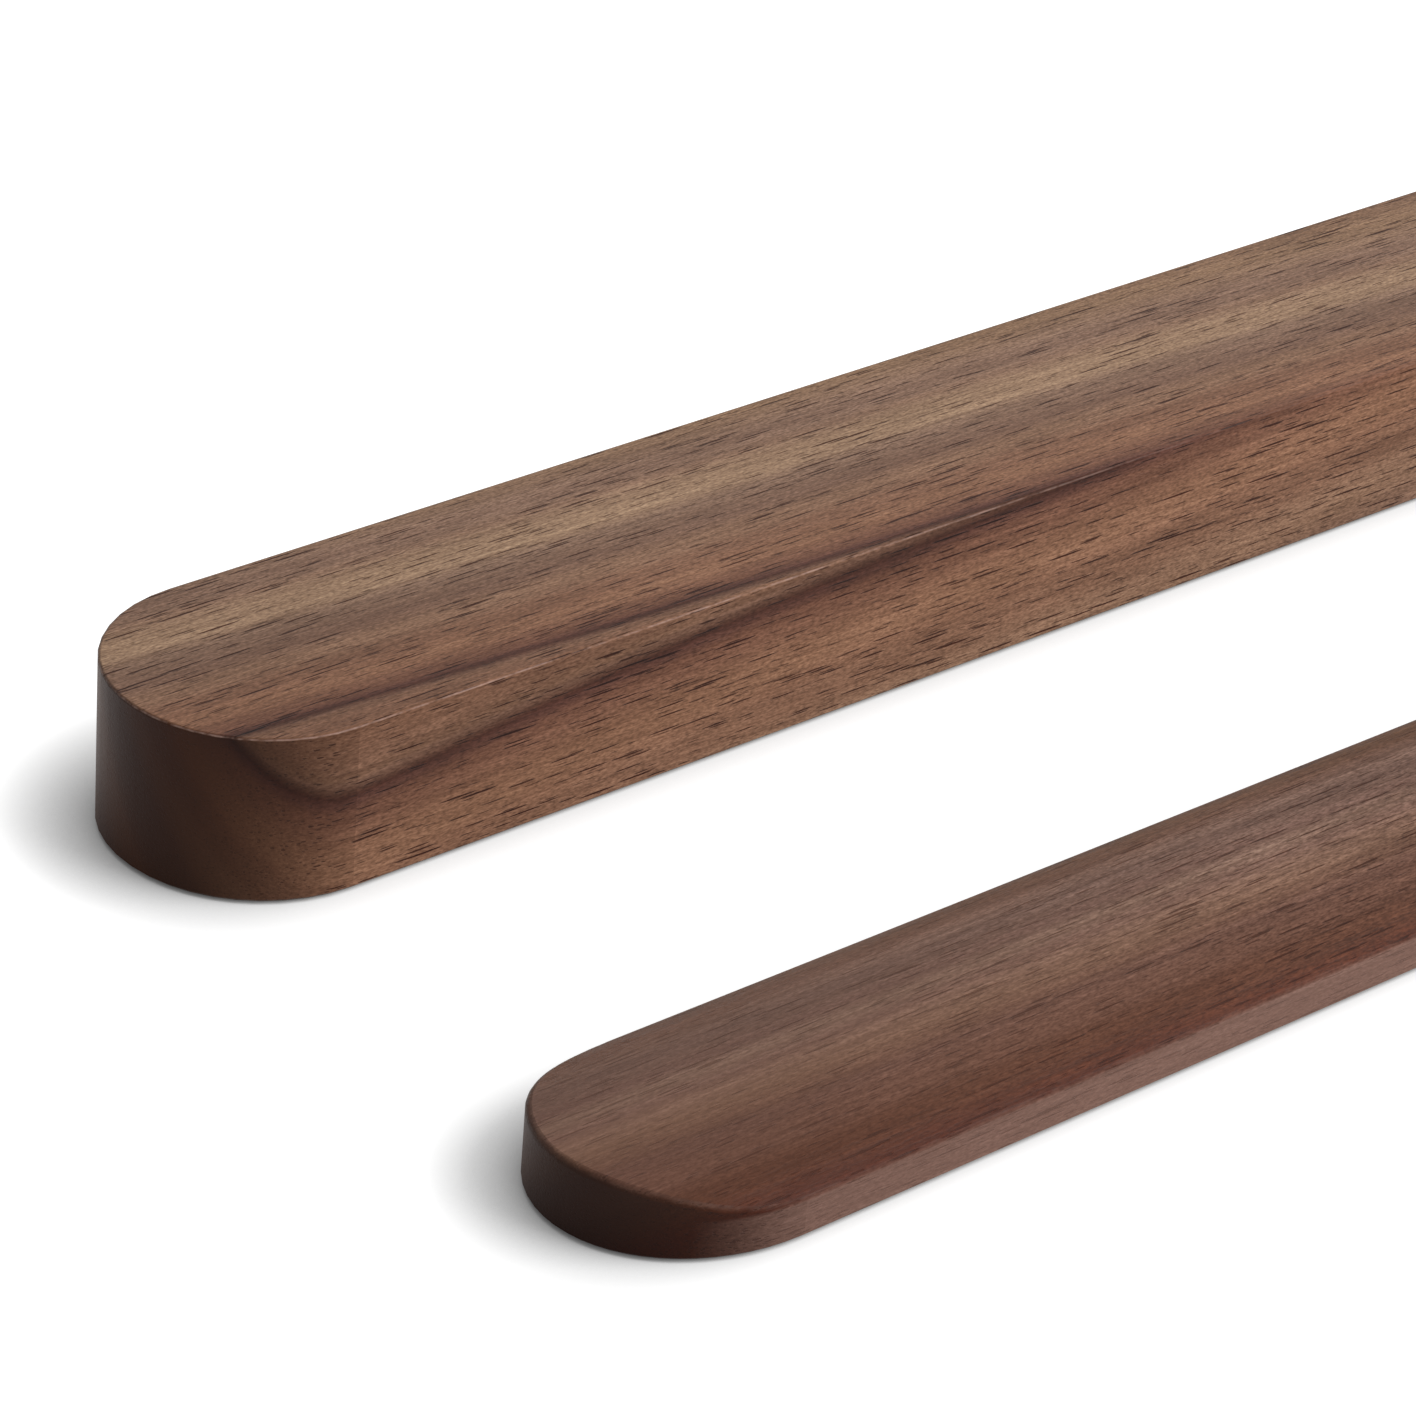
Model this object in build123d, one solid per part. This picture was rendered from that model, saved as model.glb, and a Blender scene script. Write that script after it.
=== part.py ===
"""Wooden parallel rules: a thick stock and a thin crowned blade, joined by two equal brass link arms.

The frame: X runs along the rules, Y from the blade towards the stock, Z up. The origin is under the
middle of the stock, on the surface that the rules lie on. The rules are drawn half open. The arms run
in fan-shaped pockets milled in the undersides, and turn on shoulder screws in threaded inserts.
"""
from build123d import *
from math import asin, cos, degrees, radians, sin, tan
import os

# ---------------------------------------------------------------- driving dimensions, millimetres
# The two rules
stock_length = 610.0        # a 24 inch rule
stock_width = 38.0
stock_thickness = 21.8      # wood only
blade_length = 610.0
blade_width = 34.0
blade_end_reach = 21.0      # half-elliptical ends, a little longer than half-round
blade_crown_thickness = 9.2
blade_front_thickness = 5.0 # at the ruling edge
blade_back_thickness = 5.9  # at the edge that faces the stock
crown_power = 3.2           # how flat the crown stays before it falls to the two edges
stock_edge_round = 0.4      # top arris of the stock
blade_edge_round = 0.8      # top arris of the blade
bottom_chamfer = 0.4        # arris round both undersides

# The parallelogram
link_length = 100.0         # between an arm's pivots
rest_angle = 56.8           # arm to rule, half open
open_angle = 80.0           # arm to rule, fully open
closed_gap = 0.6            # between the rules when closed
pivot_spacing = 150.0       # between the two pivots of one rule
pivot_from_end = 210.0      # left end of the stock to its first pivot
blade_lead = 3.0            # how far the blade's left end stands past the stock's at rest

# Link arms
arm_thickness = 1.8
arm_eye_diameter = 12.0
arm_waist_width = 8.0
arm_waist_fillet = 8.0
arm_edge_chamfer = 0.25

# Pivots: shoulder screw, washer and threaded insert
shoulder_diameter = 4.0
thread_diameter = 3.0
thread_length = 3.7
head_diameter = 8.0
head_thickness = 0.9
slot_width = 0.9
slot_depth = 0.4
washer_diameter = 9.0
washer_thickness = 0.4
insert_diameter = 6.0
insert_length = 4.2

# Cork strips let into the undersides
cork_width = 14.0
cork_thickness = 1.2
cork_proud = 0.3            # how far the cork stands out of the wood
cork_end_margin = 15.0      # rule's end to the first strip
cork_pocket_margin = 8.0    # strip to the nearest pocket

# Clearances
pivot_clearance = 0.05      # radial, arm on its shoulder
open_pivot_clearance = 0.2  # radial, at the pivot that closes the loop
running_clearance = 0.05    # above and below each arm
fixed_clearance = 0.05      # radial, insert in wood, screw in insert, washer on shoulder
pocket_clearance = 0.6      # round an arm's eye
pocket_swing_margin = 1.5   # degrees past each limit of the arm's swing
head_recess = 0.1           # screw head above the wood's underside
insert_bore_extra = 0.2     # depth of the wood's bore past the insert
cork_side_clearance = 0.1

# ---------------------------------------------------------------- derived sizes
wood_bottom = cork_proud
stack_height = head_thickness + arm_thickness + washer_thickness + 2 * running_clearance
pocket_depth = head_recess + stack_height
pocket_ceiling = wood_bottom + pocket_depth
washer_bottom = pocket_ceiling - washer_thickness
arm_top = washer_bottom - running_clearance
arm_bottom = arm_top - arm_thickness
head_top = arm_bottom - running_clearance
head_bottom = head_top - head_thickness
closed_spacing = (stock_width + blade_width) / 2 + closed_gap
closed_angle = degrees(asin(closed_spacing / link_length))
pocket_radius = arm_eye_diameter / 2 + pocket_clearance


def arm_vector(angle):
    """From an arm's stock pivot to its blade pivot, at an angle to the rules."""
    return Vector(link_length * cos(radians(angle)), -link_length * sin(radians(angle)), 0)


rest_vector = arm_vector(rest_angle)
stock_pivots = {
    "left": Vector(-stock_length / 2 + pivot_from_end, 0, 0),
    "right": Vector(-stock_length / 2 + pivot_from_end + pivot_spacing, 0, 0),
}
blade_pivots = {side: pivot + rest_vector for side, pivot in stock_pivots.items()}
stock_centre = Vector(0, 0, 0)
blade_centre = Vector(-stock_length / 2 - blade_lead + blade_length / 2, rest_vector.Y, 0)


# ---------------------------------------------------------------- the rules
def at(point, height=0.0):
    """A place in plan, raised to a height."""
    return Pos(point.X, point.Y, height)


def stock_blank():
    """A flat board with half-round ends, its top arris eased and its bottom arris chamfered."""
    board = extrude(SlotOverall(stock_length, stock_width), stock_thickness)
    board = fillet(board.faces().sort_by(Axis.Z)[-1].edges(), stock_edge_round)
    board = chamfer(board.faces().sort_by(Axis.Z)[0].edges(), bottom_chamfer)
    return at(stock_centre, wood_bottom) * board


def crown_height(across):
    """The blade's thickness at a distance from its centreline, towards the stock if positive."""
    share = 2 * across / blade_width
    fall = blade_crown_thickness - (blade_front_thickness + blade_back_thickness) / 2
    tilt = (blade_back_thickness - blade_front_thickness) / 2
    return blade_crown_thickness - fall * abs(share) ** crown_power + tilt * share ** 3


def blade_blank():
    """A crowned section run the blade's whole length, then cut to a plan with half-elliptical ends."""
    half = blade_width / 2
    stations = [half * step / 4 for step in range(-4, 5)]
    crown = Spline([(across, crown_height(across)) for across in stations])
    section = make_face([
        crown,
        Line((half, blade_back_thickness), (half, 0)),
        Line((half, 0), (-half, 0)),
        Line((-half, 0), (-half, blade_front_thickness)),
    ])
    bar = extrude(Plane.YZ.offset(-blade_length / 2) * section, blade_length)
    straight = blade_length - 2 * blade_end_reach
    end = Ellipse(blade_end_reach, half)
    outline = Rectangle(straight, blade_width) + Pos(straight / 2, 0) * end + Pos(-straight / 2, 0) * end
    plan = extrude(outline, blade_crown_thickness)
    board = bar & plan
    board = fillet(board.faces().sort_by(Axis.Z)[-1].edges(), blade_edge_round)
    board = chamfer(board.faces().sort_by(Axis.Z)[0].edges(), bottom_chamfer)
    return at(blade_centre, wood_bottom) * board


def swing_pocket(pivot, towards):
    """The fan that an arm's eye and bar sweep under a rule, from closed to fully open.

    towards is 1 under the stock, where the arm leaves its pivot, and -1 under the blade.
    """
    limits = (closed_angle - pocket_swing_margin, open_angle + pocket_swing_margin)
    centres = [pivot] + [pivot + towards * arm_vector(angle) for angle in limits]
    rounds = [at(centre) * Circle(pocket_radius) for centre in centres]
    outline = make_hull([edge for circle in rounds for edge in circle.edges()])
    return Pos(0, 0, wood_bottom) * extrude(outline, pocket_depth)


def insert_bore(pivot):
    """The blind bore above a pocket that holds a threaded insert."""
    radius = insert_diameter / 2 + fixed_clearance
    depth = insert_length + insert_bore_extra
    return at(pivot, pocket_ceiling) * extrude(Circle(radius), depth)


def cork_spans(centre, length, pivots, towards):
    """The clear stretches of an underside, as (name, start, end): between its ends and its pockets."""
    steepest = radians(closed_angle - pocket_swing_margin)
    half_width = (stock_width if towards > 0 else blade_width) / 2
    reach = half_width / tan(steepest) + pocket_radius / sin(steepest)
    near, far = (pocket_radius, reach) if towards > 0 else (reach, pocket_radius)
    left, right = pivots["left"].X, pivots["right"].X
    ends = (centre.X - length / 2 + cork_end_margin, centre.X + length / 2 - cork_end_margin)
    return [
        ("left", ends[0], left - near - cork_pocket_margin),
        ("middle", left + far + cork_pocket_margin, right - near - cork_pocket_margin),
        ("right", right + far + cork_pocket_margin, ends[1]),
    ]


def strip(span, centre, side_allowance):
    """A round-ended strip along a rule's centreline, flush with the surface that the rules lie on."""
    _, start, end = span
    outline = SlotOverall(end - start + 2 * side_allowance, cork_width + 2 * side_allowance)
    return Pos((start + end) / 2, centre.Y, 0) * extrude(outline, cork_thickness)


def finished_rule(blank, centre, pivots, towards, spans):
    """A rule with its pockets, insert bores and cork grooves cut."""
    for pivot in pivots.values():
        blank = blank - swing_pocket(pivot, towards) - insert_bore(pivot)
    for span in spans:
        blank = blank - strip(span, centre, cork_side_clearance)
    return blank


# ---------------------------------------------------------------- the linkage
def link_arm(side, blade_eye_clearance):
    """A waisted brass bar with an eye at each end, lying from its stock pivot to its blade pivot."""
    eye = Circle(arm_eye_diameter / 2)
    far_end = Pos(link_length, 0, 0)
    bar = Pos(link_length / 2, 0, 0) * Rectangle(link_length, arm_waist_width)
    outline = eye + far_end * eye + bar
    outline = fillet(outline.vertices(), arm_waist_fillet)
    arm = extrude(outline, arm_thickness)
    arm = chamfer(arm.faces().sort_by(Axis.Z)[-1].edges(), arm_edge_chamfer)
    arm = chamfer(arm.faces().sort_by(Axis.Z)[0].edges(), arm_edge_chamfer)
    shoulder_radius = shoulder_diameter / 2
    arm -= extrude(Circle(shoulder_radius + pivot_clearance), arm_thickness)
    arm -= far_end * extrude(Circle(shoulder_radius + blade_eye_clearance), arm_thickness)
    return at(stock_pivots[side], arm_bottom) * Rot(0, 0, -rest_angle) * arm


def pivot_screw():
    """A slotted shoulder screw, head down, its shoulder's end seated on the insert."""
    head = extrude(Circle(head_diameter / 2), head_thickness)
    head -= extrude(Rectangle(head_diameter, slot_width), slot_depth)
    shoulder_height = pocket_ceiling - head_top
    shoulder = Pos(0, 0, head_thickness) * extrude(Circle(shoulder_diameter / 2), shoulder_height)
    thread_start = head_thickness + shoulder_height
    thread = Pos(0, 0, thread_start) * extrude(Circle(thread_diameter / 2), thread_length)
    return Pos(0, 0, head_bottom) * (head + shoulder + thread)


def washer():
    """A flat ring against the pocket's ceiling, round the screw's shoulder."""
    bore = shoulder_diameter / 2 + fixed_clearance
    ring = Circle(washer_diameter / 2) - Circle(bore)
    return Pos(0, 0, washer_bottom) * extrude(ring, washer_thickness)


def threaded_insert():
    """A brass bush let into the wood, its face flush with the pocket's ceiling."""
    bush = extrude(Circle(insert_diameter / 2), insert_length)
    bush -= extrude(Circle(thread_diameter / 2 + fixed_clearance), insert_length)
    return Pos(0, 0, pocket_ceiling) * bush


# ---------------------------------------------------------------- assembly
def build_nodes():
    """Every piece of the rules in its place, by name."""
    stock_spans = cork_spans(stock_centre, stock_length, stock_pivots, 1)
    blade_spans = cork_spans(blade_centre, blade_length, blade_pivots, -1)
    nodes = {
        "stock_rule": finished_rule(stock_blank(), stock_centre, stock_pivots, 1, stock_spans),
        "blade_rule": finished_rule(blade_blank(), blade_centre, blade_pivots, -1, blade_spans),
        "left_link_arm": link_arm("left", pivot_clearance),
        "right_link_arm": link_arm("right", open_pivot_clearance),
    }
    for rule, pivots in (("stock", stock_pivots), ("blade", blade_pivots)):
        for side, pivot in pivots.items():
            place = at(pivot)
            nodes[f"{rule}_{side}_insert"] = place * threaded_insert()
            nodes[f"{rule}_{side}_pivot_screw"] = place * pivot_screw()
            nodes[f"{rule}_{side}_washer"] = place * washer()
    for rule, centre, spans in (("stock", stock_centre, stock_spans), ("blade", blade_centre, blade_spans)):
        for span in spans:
            nodes[f"{rule}_{span[0]}_cork"] = strip(span, centre, 0.0)
    return nodes


os.makedirs("parts", exist_ok=True)
for name, shape in build_nodes().items():
    export_step(shape, f"parts/{name}.step")
    print(f"{name}: {len(shape.solids())} solid, {shape.volume:.1f} mm3")

print(f"closed angle {closed_angle:.2f}, rest {rest_angle:.2f}, open {open_angle:.2f} degrees")
for side in ("left", "right"):
    print(f"{side} pivots: stock {stock_pivots[side]}, blade {blade_pivots[side]}")
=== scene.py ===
# %% [markdown]
# # Walnut parallel rulers
# Two walnut rules are joined by two brass arms of equal length. The arms, their pivot screws, washers and
# threaded inserts sit in pockets cut into the undersides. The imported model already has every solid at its
# real size, so this lesson gives each one its finish, then adds the floor, the light and the camera.

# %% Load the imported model
import math

import bpy
from mathutils import Matrix, Vector


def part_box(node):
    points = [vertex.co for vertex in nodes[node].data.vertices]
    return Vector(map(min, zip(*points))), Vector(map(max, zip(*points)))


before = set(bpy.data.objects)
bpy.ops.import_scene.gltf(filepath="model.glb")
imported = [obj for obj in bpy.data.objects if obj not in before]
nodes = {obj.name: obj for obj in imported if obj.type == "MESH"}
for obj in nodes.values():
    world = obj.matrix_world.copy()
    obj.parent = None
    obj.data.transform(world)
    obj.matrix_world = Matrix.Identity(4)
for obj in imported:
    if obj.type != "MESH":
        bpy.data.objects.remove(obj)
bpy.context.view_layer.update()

MM = 0.001

# %% [markdown]
# ## Colours and nodes
# Finishes are matched as sRGB hex values, but Blender mixes light in linear values, so one function
# converts them. A material is a tree of nodes, and one small function adds a node, sets it and joins it,
# which keeps each recipe below short enough to read from top to bottom.

# %% Four helpers


def linear(colour):
    """An sRGB hex value as linear red, green, blue and alpha."""
    parts = [int(colour[i:i + 2], 16) / 255 for i in (1, 3, 5)]
    return [p / 12.92 if p <= 0.04045 else ((p + 0.055) / 1.055) ** 2.4 for p in parts] + [1.0]


def blank(owner):
    """The emptied node tree of a material or a world."""
    owner.use_nodes = True
    owner.node_tree.nodes.clear()
    return owner.node_tree


def add(tree, kind, inputs=None, **settings):
    """Adds a node with its settings. Inputs are values or other nodes' outputs, found by the socket's
    name, or by its number where a node has several of one name."""
    node = tree.nodes.new(kind)
    for key, value in settings.items():
        setattr(node, key, value)
    for key, value in (inputs or {}).items():
        if isinstance(value, bpy.types.NodeSocket):
            tree.links.new(value, node.inputs[key])
        else:
            node.inputs[key].default_value = value
    return node


def give(material, *names):
    """Puts a material in every slot of the named solids."""
    for name in names:
        for slot in nodes[name].material_slots:
            slot.material = material
    print(material.name, "on", len(names), "solids")


print("#808080 is", round(linear("#808080")[0], 3), "in linear light")

# %% [markdown]
# ## Walnut: growth lines
# The rules are black walnut, planed, sanded and oiled. Its heartwood is brown with darker growth lines. The
# colour belongs to the whole block and not to its faces: a line that leaves the top goes on down the side.
# A flat image laid on each face would break off at the edges. So the pattern is worked out from the point
# inside the block, as a distance across the growth lines, and every face just cuts through it. The whole
# recipe counts in millimetres.

# %% Distance across the growth lines
FOLLOW = 0.25


def across_lines(tree, point, along, board):
    """The distance across the growth lines, which sweep slowly along the board, and a point for streaks
    that follow them: it moves fast across the lines and slowly, by FOLLOW, along them."""
    sweep, start, period = board["sweep"]
    straight = add(tree, "ShaderNodeVectorMath", {0: point, 1: board["across"]},
                   operation="DOT_PRODUCT").outputs["Value"]
    turn = add(tree, "ShaderNodeMath", {0: along, 1: 2 * math.pi / period,
                                        2: -2 * math.pi * start / period}, operation="MULTIPLY_ADD")
    turn = add(tree, "ShaderNodeMath", {0: turn.outputs[0]}, operation="SINE")
    ring = add(tree, "ShaderNodeMath", {0: turn.outputs[0], 1: sweep, 2: straight},
               operation="MULTIPLY_ADD").outputs[0]
    drift = add(tree, "ShaderNodeCombineXYZ", {"X": straight, "Y": ring})
    grain = add(tree, "ShaderNodeVectorMath", {0: point, 1: (1.0, FOLLOW, FOLLOW), 2: drift.outputs[0]},
                operation="MULTIPLY_ADD")
    return ring, grain.outputs[0]


print("streaks are", round(1 / FOLLOW), "times as wide along the growth lines as across them")

# %% [markdown]
# Each board has a list of its growth lines, with the distance and the colour of each. A colour ramp holds
# the list. The lines of real wood are never quite straight, so broad noise moves them a little.

# %% Colour of each growth line


def line_colours(tree, ring, wave, board):
    """The colour of each growth line by its distance; wave is the noise that makes the lines wander."""
    wander, rings = board["wander"], board["rings"]
    first, last = rings[0][0], rings[-1][0]
    ring = add(tree, "ShaderNodeMath", {0: wave, 1: 2 * wander, 2: ring}, operation="MULTIPLY_ADD")
    share = add(tree, "ShaderNodeMapRange", {"Value": ring.outputs[0], "From Min": first + wander,
                                             "From Max": last + wander})
    ramp = add(tree, "ShaderNodeValToRGB", {"Fac": share.outputs[0]})
    stops = ramp.color_ramp.elements
    for distance, _ in rings[1:-1]:
        stops.new((distance - first) / (last - first))
    for stop, (_, colour) in zip(stops, rings):
        stop.color = linear(colour)
    return ramp.outputs["Color"]


print("a colour ramp takes up to 32 growth lines")

# %% [markdown]
# ## Walnut: figure
# Between the growth lines lie clouds, streaks and fibres. Noise makes them all. It is stretched along the
# grain, because wood cells are long, and each layer has the length and width of one blotch. Real fibres are
# about 0.02 mm wide and too fine to show, so the fibre and grit layers are drawn ten times as coarse.

# %% Noise stretched along the grain
BLOTCHES = {  # length and width in mm, then the noise's detail and roughness
    "wander": (130.0, 14.0, 2.0, 0.5), "cloud": (22.0, 6.0, 2.0, 0.5), "fibre": (11.0, 0.40, 3.0, 0.65),
    "grit_and_glints": (0.75, 0.24, 1.0, 0.6), "crowd": (26.0, 2.4, 2.0, 0.6), "patch": (3.0, 2.0, 3.0, 0.7)}


def noise_layers(tree, point, grain, board):
    """A noise for each kind of blotch; the streaks differ from board to board and follow the lines."""
    noise = {}
    for layer, blotch in (*BLOTCHES.items(), ("streak", board["streak"])):
        length, width, detail, roughness = blotch
        size = add(tree, "ShaderNodeVectorMath", {
            0: grain if layer == "streak" else point, 1: (1 / length, 1 / width, 1 / width)},
            operation="MULTIPLY")
        noise[layer] = add(tree, "ShaderNodeTexNoise", {
            "Vector": size.outputs[0], "Scale": 1.0, "Detail": detail, "Roughness": roughness}).outputs[0]
    return noise


print("blotches, length and width in mm:", {layer: blotch[:2] for layer, blotch in BLOTCHES.items()})

# %% [markdown]
# Each layer darkens the wood in some places and lightens it in others. The factors differ for red, green
# and blue, because walnut's dark fibres are also redder. The grit's light specks lean towards white,
# because they are partly painted glints. Noise stays mostly between 0.25 and 0.75, so that is the stretch
# of it that runs from the low factor to the high one.

# %% Tones of the layers
CLOUD = ("cloud", (0.90, 0.89, 0.88), (1.10, 1.11, 1.12))
NOISE_LOW, NOISE_HIGH = 0.25, 0.75


def toned(tree, wood, noise, board):
    """The wood after each layer has darkened and lightened it, between two factors."""
    for layer, low, high in (CLOUD, *board["tones"]):
        tone = add(tree, "ShaderNodeMapRange", {
            6: noise[layer], 7: (NOISE_LOW,) * 3, 8: (NOISE_HIGH,) * 3, 9: low, 10: high},
            data_type="FLOAT_VECTOR")
        wood = add(tree, "ShaderNodeVectorMath", {0: wood, 1: tone.outputs[1]},
                   operation="MULTIPLY").outputs[0]
    return wood


print("clouds change the red by", round(100 * (CLOUD[2][0] - 1)), "% either way")

# %% [markdown]
# ## Walnut: pores
# A plane cuts walnut's long pores open, and they show as short dark dashes in loose crowds. Real ones are
# 0.1 to 0.25 mm wide. Here they are drawn up to 0.3 mm wide, because finer ones would not show. A cell
# pattern with cells stretched along the grain puts one dash in each cell, and noise gathers them.

# %% Open pores
PORES = ((14.0, 0.62, 0.21, 1.0), (8.5, 0.54, 0.20, 0.9),  # a cell's length and width in mm, the share of
         (5.5, 0.44, 0.20, 0.7), (36.0, 0.80, 0.13, 0.35))  # it that half a dash takes, and its depth
CROWDING, SOFT_RIM = 0.32, 0.04


def open_pores(tree, point, crowd):
    """How deep a point lies in a pore, from 0 to 1."""
    pores = 0.0
    for length, width, reach, depth in PORES:
        cell = add(tree, "ShaderNodeVectorMath", {0: point, 1: (1 / length, 1 / width, 1 / width)},
                   operation="MULTIPLY")
        spot = add(tree, "ShaderNodeTexVoronoi", {"Vector": cell.outputs[0], "Scale": 1.0})
        near = add(tree, "ShaderNodeMath", {0: crowd, 1: -CROWDING, 2: spot.outputs["Distance"]},
                   operation="MULTIPLY_ADD")
        rim = reach - CROWDING / 2
        near = add(tree, "ShaderNodeMapRange", {
            "Value": near.outputs[0], "From Min": rim - SOFT_RIM, "From Max": rim,
            "To Min": depth, "To Max": 0.0})
        pores = add(tree, "ShaderNodeMath", {0: pores, 1: near.outputs[0]}, operation="MAXIMUM").outputs[0]
    return pores


print("dashes up to", [(round(2 * reach * length, 1), round(2 * reach * width, 2))
                       for length, width, reach, _ in PORES], "mm")

# %% [markdown]
# ## Walnut: sanding
# Sanding evens the figure near a board's ends and in the pale lower front corner. Where the round ends cut
# the fibres across, these show only as dots too fine to see. In all these places the wood goes back to the
# plain colour of its growth lines. The distance out from the board's middle tells how near the end is.

# %% Where the figure gives way
SANDED = 125.0


def pale_corner(tree, spot, low, high, front, back):
    """How far a paler colour fills the lower front corner; it fades between two heights and two depths."""
    under = add(tree, "ShaderNodeMapRange", {"Value": spot.outputs["Z"], "From Min": low, "From Max": high,
                                             "To Min": 1.0, "To Max": 0.0})
    ahead = add(tree, "ShaderNodeMapRange", {"Value": spot.outputs["Y"], "From Min": front,
                                             "From Max": back, "To Min": 1.0, "To Max": 0.0})
    return add(tree, "ShaderNodeMath", {0: under.outputs[0], 1: ahead.outputs[0]},
               operation="MULTIPLY").outputs[0]


def faintness(tree, end_grain_and_shade, out, corner, board):
    """How far the figure gives way to the plain colour: near the ends, in the corner, on end grain."""
    half = board["length"] / 2
    faint = add(tree, "ShaderNodeMapRange", {"Value": out, "From Min": half - SANDED, "From Max": half,
                                             "To Max": board["evened"]})
    # the figure also fades in the pale lower front corner
    streak = add(tree, "ShaderNodeMath", {0: corner, 1: board["evened"]}, operation="MULTIPLY")
    for cause in (streak.outputs[0], end_grain_and_shade):
        faint = add(tree, "ShaderNodeMath", {0: faint.outputs[0], 1: cause}, operation="MAXIMUM")
    return faint.outputs[0]


print("sanding evens the last", SANDED, "mm")

# %% [markdown]
# ## Walnut: oil and painted shade on the ends
# End grain drinks more oil than the sides and turns darker. The same tint also holds painted shade: the
# more a face turns to point along the board, the darker it is painted. A face that points along the board
# is end grain. The round ends turn into it slowly, and a power under 1 spreads the dark a little round the
# turn. Apart from that, the wood darkens over the last few centimetres towards each end, further along
# some streaks than along others.

# %% Oiled end grain with painted shade
END_DARK_REACH, END_POWER = 60.0, 0.75


def darkened_ends(tree, wood, end_grain_and_shade, out, streak, board):
    """The wood with its end grain darkened by oil and painted shade, and darker towards each end."""
    half = board["length"] / 2
    # end grain darkened partly by oil and partly by painted shade, more as a face points along the board
    end_grain_and_shade = add(tree, "ShaderNodeMath", {0: end_grain_and_shade, 1: END_POWER}, operation="POWER")
    # darker over the last few centimetres towards each end, further along some streaks than others
    toward_end = add(tree, "ShaderNodeMath", {0: streak, 1: 0.5 * END_DARK_REACH, 2: out}, operation="MULTIPLY_ADD")
    toward_end = add(tree, "ShaderNodeMapRange", {"Value": toward_end.outputs[0], "From Min": half - 0.75 * END_DARK_REACH,
                                             "From Max": half + 0.25 * END_DARK_REACH})
    for darkening, tint in ((end_grain_and_shade, board["end_oil_and_shade_tint"]), (toward_end, board["toward_end_tint"])):
        end_darkening = add(tree, "ShaderNodeMapRange", {6: darkening.outputs[0], 9: (1.0,) * 3, 10: tint},
                   data_type="FLOAT_VECTOR")
        wood = add(tree, "ShaderNodeVectorMath", {0: wood, 1: end_darkening.outputs[1]},
                   operation="MULTIPLY").outputs[0]
    return wood


print("oil creeps", END_DARK_REACH, "mm up the fibres")

# %% [markdown]
# ## Walnut: handling and painted highlight
# Hands rub the rounded edges paler and smoother, in patches, and most of all near the ends, and the paler
# colour is also a painted highlight that the rounded edges catch. A rounded edge is found by where its face
# points: on the tops that is straight up, on the sides it is level, and only an edge faces in between. The
# further from EDGE_TILT, the less it is rubbed and the weaker the painted highlight.

# %% Rubbed edges with painted highlight
EDGE_TILT, EDGE_CORE, EDGE_RIM = 0.6, 0.05, 0.30
PATCH_LOW, PATCH_HIGH, LEAST_MID_BOARD = 0.38, 0.6, 0.15


def rubbed_and_highlit(tree, upward, out, patch, board):
    """How far handling has rubbed a rounded edge and a painted highlight lightens it."""
    half = board["length"] / 2
    slope = add(tree, "ShaderNodeMath", {0: upward, 1: EDGE_TILT}, operation="SUBTRACT")
    slope = add(tree, "ShaderNodeMath", {0: slope.outputs[0]}, operation="ABSOLUTE")
    edge = add(tree, "ShaderNodeMapRange", {"Value": slope.outputs[0], "From Min": EDGE_CORE,
                                            "From Max": EDGE_RIM, "To Min": board["rub_and_highlight"], "To Max": 0.0})
    patch = add(tree, "ShaderNodeMapRange", {"Value": patch, "From Min": PATCH_LOW,
                                             "From Max": PATCH_HIGH})
    # the wear and the painted highlight are strongest near the ends
    near_ends = add(tree, "ShaderNodeMapRange", {"Value": out, "From Min": half - 1.15 * SANDED,
                                            "From Max": half - 0.85 * SANDED, "To Min": LEAST_MID_BOARD})
    rub_and_highlight = add(tree, "ShaderNodeMath", {0: edge.outputs[0], 1: patch.outputs[0]}, operation="MULTIPLY")
    rub_and_highlight = add(tree, "ShaderNodeMath", {0: rub_and_highlight.outputs[0], 1: near_ends.outputs[0]}, operation="MULTIPLY")
    return rub_and_highlight.outputs[0]


print("edges that face", round(math.degrees(math.asin(EDGE_TILT))), "degrees up are rubbed most")

# %% [markdown]
# ## Walnut: surface
# Oil soaks in and leaves a satin surface and not a gloss, so the specular level stays low and the roughness
# high. Fibres make it a little more matt, and rubbing polishes it. The open pores and the fibres are only
# shallow relief, too fine for geometry, so a bump gives them.

# %% Satin surface
MATT_FIBRE, RUB_POLISH = 0.14, -0.12
PORE_RELIEF, GRIT_RELIEF, RELIEF = -1.0, 0.5, 0.08 * MM


def satin(tree, wood, pores, rub_and_highlight, noise, roughness):
    """The shader that joins the colour to the roughness and the relief."""
    rough = add(tree, "ShaderNodeMath", {0: noise["fibre"], 1: MATT_FIBRE, 2: roughness},
                operation="MULTIPLY_ADD")
    rough = add(tree, "ShaderNodeMath", {0: rub_and_highlight, 1: RUB_POLISH, 2: rough.outputs[0]},
                operation="MULTIPLY_ADD")
    height = add(tree, "ShaderNodeMath", {0: pores, 1: PORE_RELIEF, 2: noise["fibre"]},
                 operation="MULTIPLY_ADD")
    height = add(tree, "ShaderNodeMath", {0: noise["grit_and_glints"], 1: GRIT_RELIEF, 2: height.outputs[0]},
                 operation="MULTIPLY_ADD")
    bump = add(tree, "ShaderNodeBump", {"Height": height.outputs[0], "Strength": 0.6, "Distance": RELIEF})
    skin = add(tree, "ShaderNodeBsdfPrincipled", {
        "Base Color": wood, "Roughness": rough.outputs[0], "Normal": bump.outputs[0],
        "IOR": 1.5, "Specular IOR Level": 0.1})
    add(tree, "ShaderNodeOutputMaterial", {"Surface": skin.outputs[0]})


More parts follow.
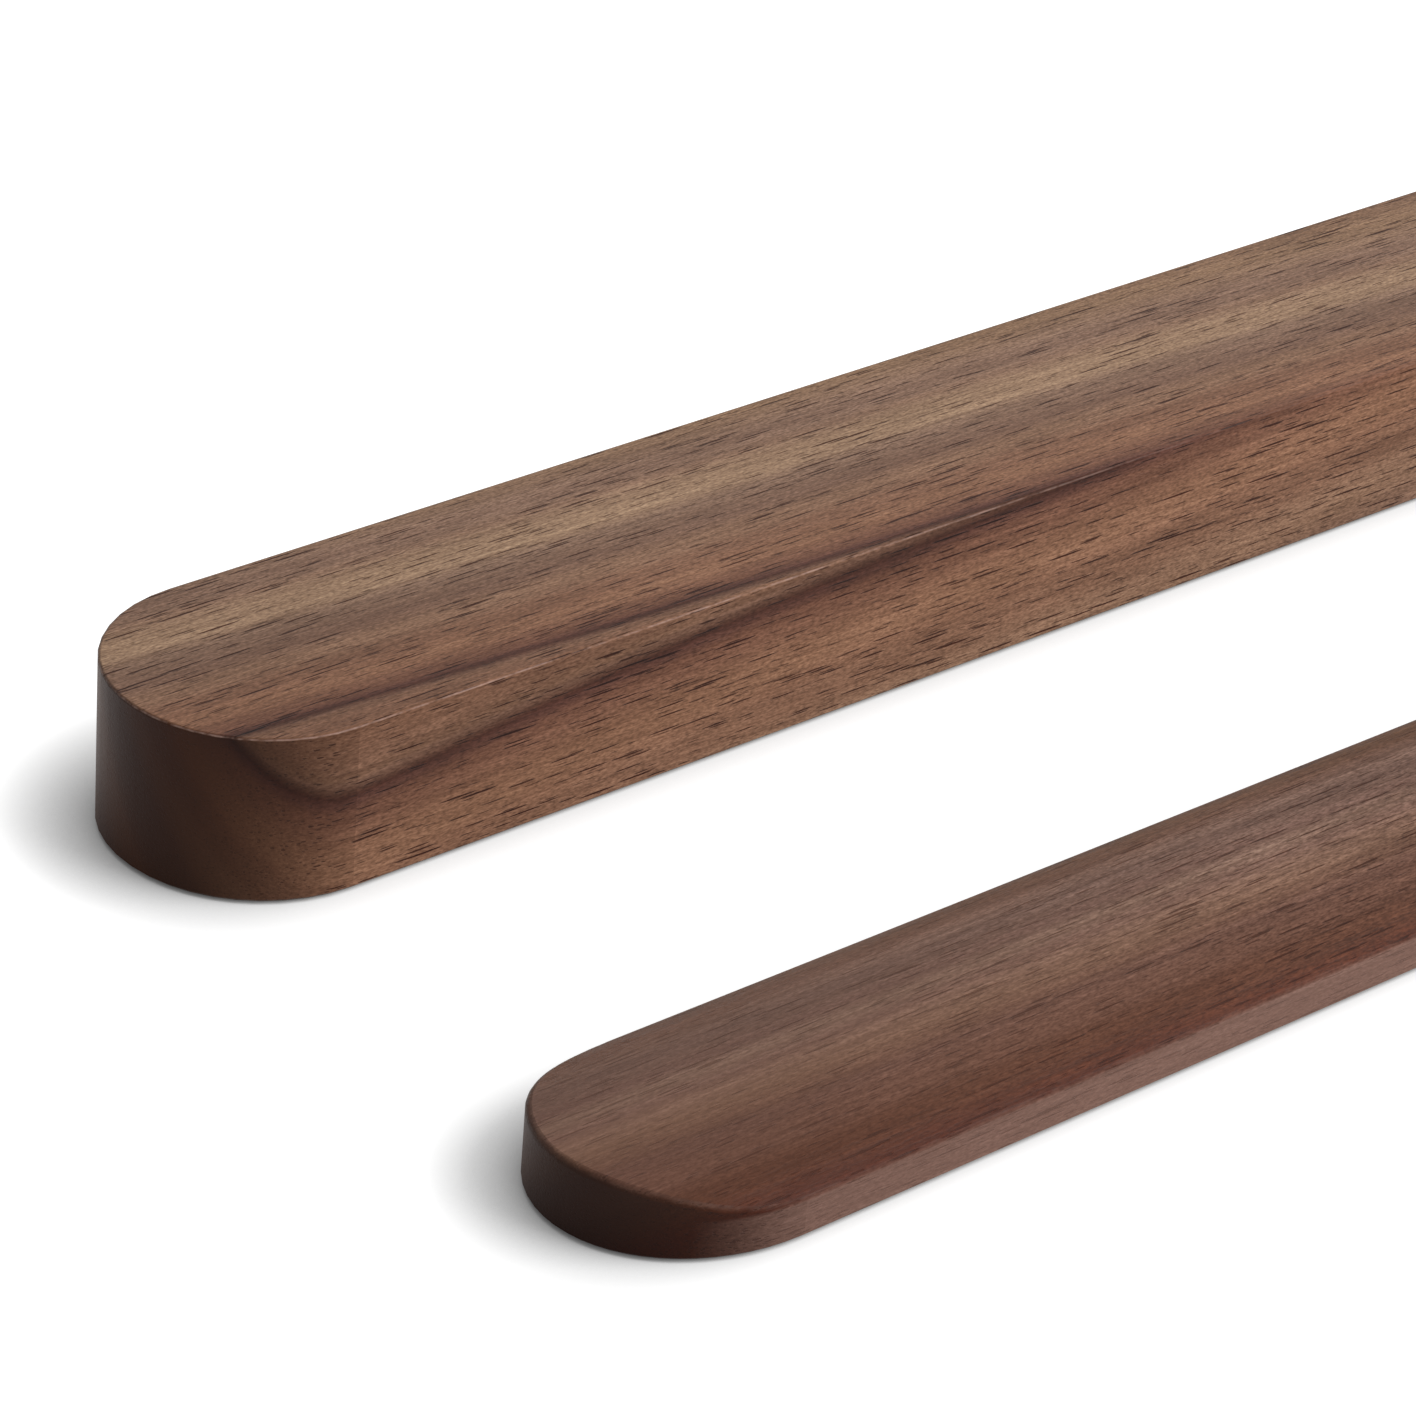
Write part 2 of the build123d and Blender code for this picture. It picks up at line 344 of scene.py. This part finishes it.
print("the relief is", round(RELIEF / MM, 3), "mm deep")

# %% [markdown]
# ## Walnut: the whole recipe
# The steps come together in the order in which a maker meets them: the colour of the wood, its figure and
# pores, then sanding, oil with painted shade on the ends, and handling with a painted highlight on the
# edges.
# The same recipe serves both boards, and only the board differs.

# %% The whole recipe


def walnut(name, board):
    """Oiled walnut; board gives the growth lines, their colours, the wear and the painted light and shade.
    """
    material = bpy.data.materials.new(name)
    tree = blank(material)
    place = add(tree, "ShaderNodeTexCoord")
    point = add(tree, "ShaderNodeVectorMath", {0: place.outputs["Object"], 1: (1 / MM,) * 3},
                operation="MULTIPLY").outputs[0]
    point = add(tree, "ShaderNodeVectorMath", {0: point, 1: board["origin"]},
                operation="SUBTRACT").outputs[0]
    spot = add(tree, "ShaderNodeSeparateXYZ", {0: point})
    face = add(tree, "ShaderNodeSeparateXYZ", {0: place.outputs["Normal"]})
    end_grain_and_shade = add(tree, "ShaderNodeMath", {0: face.outputs["X"]}, operation="ABSOLUTE").outputs[0]
    out = add(tree, "ShaderNodeMath", {0: spot.outputs["X"], 1: board["length"] / 2}, operation="SUBTRACT")
    out = add(tree, "ShaderNodeMath", {0: out.outputs[0]}, operation="ABSOLUTE").outputs[0]

    ring, grain = across_lines(tree, point, spot.outputs["X"], board)
    noise = noise_layers(tree, point, grain, board)
    plain = line_colours(tree, ring, noise["wander"], board)
    corner = 0.0
    if "corner" in board:
        *fades, colour = board["corner"]
        corner = pale_corner(tree, spot, *fades)
        plain = add(tree, "ShaderNodeMix", {"Factor": corner, 6: plain, 7: linear(colour)},
                    data_type="RGBA").outputs[2]

    pores = open_pores(tree, point, noise["crowd"])
    hole = add(tree, "ShaderNodeMapRange", {6: pores, 9: (1.0,) * 3, 10: board["pore_tint"]},
               data_type="FLOAT_VECTOR")
    wood = toned(tree, plain, noise, board)
    wood = add(tree, "ShaderNodeVectorMath", {0: wood, 1: hole.outputs[1]}, operation="MULTIPLY").outputs[0]
    faint = faintness(tree, end_grain_and_shade, out, corner, board)
    wood = add(tree, "ShaderNodeMix", {"Factor": faint, 6: wood, 7: plain}, data_type="RGBA").outputs[2]
    wood = darkened_ends(tree, wood, end_grain_and_shade, out, noise["streak"], board)
    rub_and_highlight = rubbed_and_highlit(tree, face.outputs["Z"], out, noise["patch"], board)
    # paler rubbed edges: partly wear, partly a painted highlight
    wood = add(tree, "ShaderNodeMix", {"Factor": rub_and_highlight, 6: wood, 7: linear(board["rub_and_highlight_colour"])},
               data_type="RGBA").outputs[2]
    satin(tree, wood, pores, rub_and_highlight, noise, board["roughness"])
    return material


print("the walnut recipe is ready for", [name for name in nodes if name.endswith("_rule")])

# %% [markdown]
# ## The thick rule
# The stock is sawn so that its growth lines come to the top at an angle. One dark line crosses the top
# near the front, turns over the edge, and runs down the side. A band of paler wood lies behind it. The list
# gives each line's distance in mm and its colour, as if read off the end of the board.

# %% The stock's board
stock_low, stock_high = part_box("stock_rule")
stock_board = {
    "origin": (stock_low.x / MM, 0.0, 0.0), "length": (stock_high.x - stock_low.x) / MM,
    "across": (0.0408, 0.875, -0.485),  # the direction across the growth lines
    "sweep": (0.5, 20.0, 185.0),  # their waves along the board: height, start and length
    "wander": 0.25,
    "rings": [(-30, "#835B44"), (-24, "#835F4B"), (-23.3, "#7E5C48"), (-22.95, "#7B5A49"),
              (-22.6, "#5F4133"), (-22.15, "#47281E"), (-21.7, "#5D3B31"), (-21, "#744E3D"),
              (-20, "#7F5845"), (-18.5, "#8E664F"), (-17.2, "#926A52"), (-16.2, "#8A634D"),
              (-15.3, "#86614C"), (-14.3, "#86614C"), (-12.8, "#8F6C56"), (-11.5, "#8D6B55"),
              (-9.3, "#7E5F4E"), (-7, "#826452"), (-5.3, "#8C6E5B"), (-4.4, "#967761"), (-3.4, "#A5856B"),
              (-1, "#A38369"), (0.6, "#9B7B63"), (1.8, "#92715C"), (3, "#8E6F5C"), (4.2, "#886957"),
              (5.6, "#8E6F5C"), (10, "#927259"), (18, "#715140"), (26, "#8C6B52"), (42, "#7D5A46")],
    "streak": (60.0, 1.1, 4.0, 0.6),  # as in BLOTCHES
    "tones": (("streak", (0.80, 0.77, 0.75), (1.18, 1.20, 1.21)),
              ("fibre", (0.68, 0.64, 0.62), (1.30, 1.34, 1.36)),
              # the grit's light factors are partly painted glints
              ("grit_and_glints", (0.58, 0.55, 0.53), (1.40, 1.45, 1.48))),
    # the end tint is oiled end grain and painted shade; the tint after it darkens the wood near the ends
    "pore_tint": (0.15, 0.065, 0.035), "end_oil_and_shade_tint": (0.165, 0.088, 0.06), "toward_end_tint": (0.90, 0.89, 0.89),
    # the rub is partly wear and partly a painted highlight on the rounded edges
    "evened": 0.0, "rub_and_highlight": 0.62, "rub_and_highlight_colour": "#B8978A", "roughness": 0.40}
give(walnut("walnut_planed_oiled", stock_board), "stock_rule")

# %% [markdown]
# ## The thin rule
# The blade comes from darker wood. Its growth lines lie flatter, so that the dark ones show along the
# front of the crown. The lower front corner, up to the ruling edge, is paler.

# %% The blade's board
blade_low, blade_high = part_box("blade_rule")
blade_board = {
    "origin": (blade_low.x / MM, (blade_low.y + blade_high.y) / 2 / MM, 0.0),
    "length": (blade_high.x - blade_low.x) / MM,
    "across": (0.012, 0.62, 0.78),
    "sweep": (0.1, 0.0, 180.0),
    "wander": 0.3,
    "corner": (4.9, 5.4, -16.95, -13.5, "#836357"),  # two heights, two depths and the colour
    "rings": [(-14, "#5A3828"), (-9, "#4E2819"), (-5.4, "#4F2618"), (-4, "#552D1D"), (-2.5, "#5B3727"),
              (-1, "#5E3C2D"), (0.4, "#69483A"), (1.6, "#6C4B3D"), (3.4, "#6D4D40"), (4.6, "#755444"),
              (6, "#81604E"), (7.5, "#886756"), (8.5, "#806052"), (9.8, "#876959"), (11, "#74564A"),
              (12, "#785B4E"), (13, "#74584C"), (14, "#836557"), (15, "#7B5B4C"), (16.5, "#67452F"),
              (20, "#6F4D3F"), (26, "#5A3E34")],
    "streak": (70.0, 0.7, 4.0, 0.6),
    "tones": (("streak", (0.66, 0.61, 0.58), (1.32, 1.37, 1.40)),
              ("fibre", (0.66, 0.61, 0.58), (1.32, 1.37, 1.40)),
              # the grit's light factors are partly painted glints
              ("grit_and_glints", (0.54, 0.50, 0.48), (1.44, 1.49, 1.52))),
    # the end tint is oiled end grain and painted shade; the tint after it darkens the wood near the ends
    "pore_tint": (0.32, 0.21, 0.16), "end_oil_and_shade_tint": (0.21, 0.155, 0.135), "toward_end_tint": (0.84, 0.82, 0.82),
    # the rub is partly wear and partly a painted highlight on the rounded edges
    "evened": 0.6, "rub_and_highlight": 0.12, "rub_and_highlight_colour": "#9A7666", "roughness": 0.42}
give(walnut("walnut_dark_oiled", blade_board), "blade_rule")

# %% [markdown]
# ## Brass
# The arms are cut from drawn brass bar and brushed along their length, while the screws, washers and
# inserts are turned. Both are bare metal, so the colour comes from the reflection: a metallic surface
# with a yellow base, made rough by the tool marks, and a little darker where handling has tarnished it.
# Real tool marks are finer than the 0.1 mm drawn here, which is about the finest that shows.

# %% Brass from fine scratches
STAIN, SCRATCH_DEPTH = 4 * MM, 0.01 * MM


def brass(name, scratch, colour, tarnish, roughness, angle=0.0):
    """Bare brass; scratch is the size of one tool mark in mm, turned by an angle in the plane."""
    material = bpy.data.materials.new(name)
    tree = blank(material)
    place = add(tree, "ShaderNodeTexCoord")
    lines = add(tree, "ShaderNodeMapping", {
        "Vector": place.outputs["Object"], "Rotation": (0.0, 0.0, angle),
        "Scale": [size * MM for size in scratch]}, vector_type="TEXTURE")
    lines = add(tree, "ShaderNodeTexNoise", {"Vector": lines.outputs[0], "Scale": 1.0, "Detail": 3.0})
    stain = add(tree, "ShaderNodeTexNoise", {"Vector": place.outputs["Object"], "Scale": 1 / STAIN,
                                             "Detail": 4.0, "Roughness": 0.6})
    stain = add(tree, "ShaderNodeMapRange", {"Value": stain.outputs["Fac"], "From Min": 0.45,
                                             "From Max": 0.8, "To Max": 0.35})
    metal = add(tree, "ShaderNodeMix", {"Factor": stain.outputs[0], 6: linear(colour), 7: linear(tarnish)},
                data_type="RGBA")
    rough = add(tree, "ShaderNodeMath", {0: lines.outputs["Fac"], 1: 0.2, 2: roughness},
                operation="MULTIPLY_ADD")
    bump = add(tree, "ShaderNodeBump", {"Height": lines.outputs["Fac"], "Strength": 0.3,
                                        "Distance": SCRATCH_DEPTH})
    skin = add(tree, "ShaderNodeBsdfPrincipled", {
        "Base Color": metal.outputs[2], "Metallic": 1.0, "Roughness": rough.outputs[0],
        "Normal": bump.outputs[0]})
    add(tree, "ShaderNodeOutputMaterial", {"Surface": skin.outputs[0]})
    return material


ends = [sum(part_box(f"{rule}_left_insert"), Vector()) / 2 for rule in ("blade", "stock")]
lie = math.atan2(ends[1].y - ends[0].y, ends[1].x - ends[0].x)
print("the arms lie at", round(math.degrees(lie), 1), "degrees")
brushed = brass("brass_bar_brushed", (6.0, 0.12, 0.12), "#CBAF74", "#7E6238", 0.26, lie)
give(brushed, "left_link_arm", "right_link_arm")
corners = [f"{rule}_{side}" for rule in ("stock", "blade") for side in ("left", "right")]
turned = brass("brass_turned", (0.2, 0.2, 0.08), "#C8AA6B", "#74592F", 0.2)
give(turned, *(f"{corner}_{piece}" for corner in corners for piece in ("pivot_screw", "insert", "washer")))

# %% [markdown]
# ## Cork
# Strips of pressed cork keep the rules from sliding on the chart. Cork granules are 0.5 to 2 mm across,
# each a slightly different brown, with dark seams between them. A cell pattern gives each granule its
# own colour, and the distance to the cell's edge draws the seams.

# %% Pressed cork
GRANULE, SEAM_SHARE, SEAM_DEPTH = 1.25 * MM, 0.08, 0.1 * MM
cork = bpy.data.materials.new("cork_pressed_sheet")
tree = blank(cork)
point = add(tree, "ShaderNodeTexCoord").outputs["Object"]
granule = add(tree, "ShaderNodeTexVoronoi", {"Vector": point, "Scale": 1 / GRANULE})
seam = add(tree, "ShaderNodeTexVoronoi", {"Vector": point, "Scale": 1 / GRANULE},
           feature="DISTANCE_TO_EDGE")
seam = add(tree, "ShaderNodeMapRange", {"Value": seam.outputs["Distance"], "From Max": SEAM_SHARE})
shade = add(tree, "ShaderNodeSeparateColor", {0: granule.outputs["Color"]})
body = add(tree, "ShaderNodeMix", {"Factor": shade.outputs[0], 6: linear("#A87B50"), 7: linear("#C89C6C")},
           data_type="RGBA")
body = add(tree, "ShaderNodeMix", {"Factor": seam.outputs[0], 6: linear("#5E3F26"), 7: body.outputs[2]},
           data_type="RGBA")
bump = add(tree, "ShaderNodeBump", {"Height": seam.outputs[0], "Strength": 0.6, "Distance": SEAM_DEPTH})
skin = add(tree, "ShaderNodeBsdfPrincipled", {"Base Color": body.outputs[2], "Roughness": 0.85,
                                              "Normal": bump.outputs[0], "Specular IOR Level": 0.3})
add(tree, "ShaderNodeOutputMaterial", {"Surface": skin.outputs[0]})
give(cork, *(name for name in nodes if name.endswith("_cork")))

# %% [markdown]
# ## Background
# A studio's white is brighter than what lights the object. So the background is white for the camera and
# for what polished metal reflects, and only a soft grey for the light that falls on the rules. One helper
# tells the two kinds of ray apart, for the sky here and for the floor after it.

# %% Sky
SKY = 0.25


def in_view(tree):
    """1 for rays from the camera and for reflected or refracted rays, 0 for light that bounces about."""
    path = add(tree, "ShaderNodeLightPath")
    seen = add(tree, "ShaderNodeMath", {0: path.outputs["Is Camera Ray"], 1: path.outputs["Is Glossy Ray"]},
               operation="ADD")
    return add(tree, "ShaderNodeMath", {0: seen.outputs[0], 1: path.outputs["Is Transmission Ray"]},
               operation="ADD", use_clamp=True).outputs[0]


world = bpy.data.worlds.new("studio")
bpy.context.scene.world = world
tree = blank(world)
air = add(tree, "ShaderNodeMapRange", {"Value": in_view(tree), "To Min": SKY})
sky = add(tree, "ShaderNodeBackground", {"Color": (1, 1, 1, 1), "Strength": air.outputs[0]})
add(tree, "ShaderNodeOutputWorld", {"Surface": sky.outputs[0]})
print("the sky lights the rules with a strength of", SKY)

# %% [markdown]
# ## Floor
# A pale sweep under soft light. It glows white for the camera and for reflections, but the rules only see
# a plain grey, so that the left ends stay as dark as on a real table. It still takes the lamp's shadow. The
# glow stands for the soft light of the room, most of which comes from the right and from in front. So it
# fades where a rule stands close by on that side, and the shade is deepest along the line of contact.

# %% Floor
WIDE, GAP = 8.0, 0.02 * MM
SEEN_GREY, BOUNCE_GREY = 0.4, 0.42
CLOSE, FADE, ROOM_LIGHT = 13 * MM, 1.6, Vector((0.55, -0.30, 0.78)).normalized()
bpy.ops.mesh.primitive_plane_add(size=WIDE, location=(0, 0, -GAP))
floor = bpy.context.object
floor.name = "floor"
floor_skin = bpy.data.materials.new("floor_matt_white")
tree = blank(floor_skin)
seen = in_view(tree)
room = add(tree, "ShaderNodeCombineXYZ", {"X": ROOM_LIGHT.x, "Y": ROOM_LIGHT.y, "Z": ROOM_LIGHT.z})
near = add(tree, "ShaderNodeAmbientOcclusion", {"Distance": CLOSE, "Normal": room.outputs[0]}, samples=16)
glow = add(tree, "ShaderNodeMath", {0: near.outputs["AO"], 1: FADE}, operation="POWER")
glow = add(tree, "ShaderNodeMath", {0: seen, 1: glow.outputs[0]}, operation="MULTIPLY")
glow = add(tree, "ShaderNodeEmission", {"Strength": glow.outputs[0]})
grey = add(tree, "ShaderNodeMapRange", {"Value": seen, "To Min": BOUNCE_GREY, "To Max": SEEN_GREY})
matt = add(tree, "ShaderNodeBsdfDiffuse", {"Color": grey.outputs[0]})
both = add(tree, "ShaderNodeAddShader", {0: glow.outputs[0], 1: matt.outputs[0]})
add(tree, "ShaderNodeOutputMaterial", {"Surface": both.outputs[0]})
floor.data.materials.append(floor_skin)
bpy.context.scene.view_settings.view_transform = "Standard"
print("floor at z =", round(floor.location.z / MM, 3), "mm")

# %% [markdown]
# ## Lamp
# One large soft window to the right of the rules and in front of them. It lights the tops and the front
# sides almost equally and leaves the left ends in their own shade, which shows how thick each rule is.

# %% Front softbox
WINDOW, POWER, AWAY = 0.9, 19.5, 1.4
lit_point = Vector((stock_low.x + 80 * MM, -9 * MM, 0.0))  # near the left ends
towards = Vector((0.45, -0.62, 0.64)).normalized()
lamp = bpy.data.lights.new("front_softbox", "AREA")
lamp.size, lamp.energy = WINDOW, POWER
softbox = bpy.data.objects.new("front_softbox", lamp)
bpy.context.scene.collection.objects.link(softbox)
softbox.location = lit_point + towards * AWAY
softbox.rotation_mode = "QUATERNION"
softbox.rotation_quaternion = towards.to_track_quat("Z", "Y")
print(softbox.name, "at", [round(v, 2) for v in softbox.location], "m")

# %% [markdown]
# ## Camera
# A long lens close to the left ends, looking along the rules and down on them. The camera is turned a
# little about its own axis, so that the rules climb towards the upper right.

# %% Camera
HEADING, ELEVATION, ROLL = (math.radians(d) for d in (48.10, 30.25, 4.61))
DISTANCE, LENS = 0.6789, 140.3  # in m and mm
look_at = Vector((stock_low.x + 80.33 * MM, -9.24 * MM, 0.0))
forward = Vector((math.cos(ELEVATION) * math.cos(HEADING), math.cos(ELEVATION) * math.sin(HEADING),
                  -math.sin(ELEVATION)))
right = forward.cross(Vector((0, 0, 1))).normalized()
up = right.cross(forward)
side = math.cos(ROLL) * right + math.sin(ROLL) * up
top = -math.sin(ROLL) * right + math.cos(ROLL) * up
turn = Matrix((side, top, -forward)).transposed().to_4x4()
camera = bpy.data.objects.new("camera", bpy.data.cameras.new("camera"))
bpy.context.scene.collection.objects.link(camera)
camera.data.lens, camera.data.clip_start = LENS, 0.05
camera.matrix_world = Matrix.Translation(look_at - forward * DISTANCE) @ turn
bpy.context.scene.camera = camera
print("camera at", [round(v, 4) for v in camera.location], "m, with a lens of", LENS, "mm")
